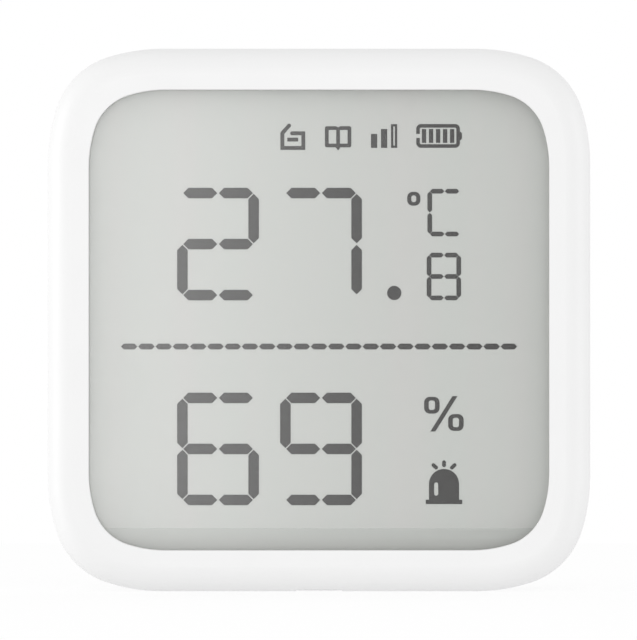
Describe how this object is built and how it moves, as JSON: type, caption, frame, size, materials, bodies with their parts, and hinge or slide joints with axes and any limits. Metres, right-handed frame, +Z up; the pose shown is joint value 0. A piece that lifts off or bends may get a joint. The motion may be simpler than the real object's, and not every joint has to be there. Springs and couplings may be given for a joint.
{
  "type": "wireless environmental sensor",
  "caption": "Square white wall or desk sensor with a segment display for temperature and humidity, a hinged battery door and a slide-off wall bracket.",
  "frame": {"origin": "on the flat base the sensor stands on, half-way across its width and half-way through its depth", "axes": "+X to the right seen from the front, +Y from the front to the back, +Z up"},
  "size_m": [0.07, 0.0255, 0.07],
  "materials": {
    "housing": "satin",
    "grey_plastic": "satin",
    "frame_plastic": "matte",
    "window": "clear",
    "tape": "matte",
    "film": "satin",
    "display_glass": "clear",
    "seal": "satin",
    "marks": "matte",
    "reflector": "satin",
    "contact_rubber": "matte",
    "board": "gloss",
    "chip": "matte",
    "can": "satin",
    "antenna": "satin",
    "capacitor": "satin",
    "ceramic": "matte",
    "membrane": "matte",
    "steel": "satin",
    "cell": "gloss",
    "spring_steel": "bright"
  },
  "bodies": {
    "housing": {"front_housing": "housing", "rear_housing": "housing", "display_frame": "frame_plastic", "display_window": "window", "window_adhesive": "tape", "front_polarizer": "film", "front_glass": "display_glass", "rear_glass": "display_glass", "cell_seal": "seal", "temperature_digits": "marks", "humidity_digits": "marks", "unit_signs": "marks", "divider_dashes": "marks", "status_symbols": "marks", "reflector": "reflector", "contact_strip": "contact_rubber", "main_board": "board", "controller_chip": "chip", "radio_module": "board", "radio_shield": "can", "clock_crystal": "can", "antenna_coil": "antenna", "reservoir_capacitor": "capacitor", "surface_chips": "ceramic", "climate_sensor": "chip", "inlet_membrane": "membrane", "tamper_switch": "chip", "enrol_switch": "chip", "board_screws": "steel", "battery_cells": "cell", "bridge_contact": "spring_steel", "positive_contact": "spring_steel", "negative_contact": "spring_steel", "tamper_spring": "spring_steel"},
    "bracket": {"wall_bracket": "housing"},
    "door": {"battery_door": "housing"},
    "plunger": {"tamper_plunger": "grey_plastic"},
    "button": {"enrol_button": "grey_plastic"}
  },
  "joints": [
    {"name": "bracket_slide", "type": "slide", "parent": "housing", "child": "bracket", "axis": [0, 0, -1], "range_m": [0, 0.005]},
    {"name": "door_hinge", "type": "hinge", "parent": "housing", "child": "door", "pos_m": [0, 0.012, 0.0066], "axis": [-1, 0, 0], "range_deg": [0, 80]},
    {"name": "plunger_press", "type": "slide", "parent": "housing", "child": "plunger", "axis": [0, -1, 0], "range_m": [0, 0.0015], "stiffness_N_per_m": 300, "springref_m": -0.002, "deforming": ["tamper_spring"]},
    {"name": "enrol_press", "type": "slide", "parent": "housing", "child": "button", "axis": [0, -1, 0], "range_m": [0, 0.0004], "stiffness_N_per_m": 2000, "springref_m": -0.0003}
  ]
}
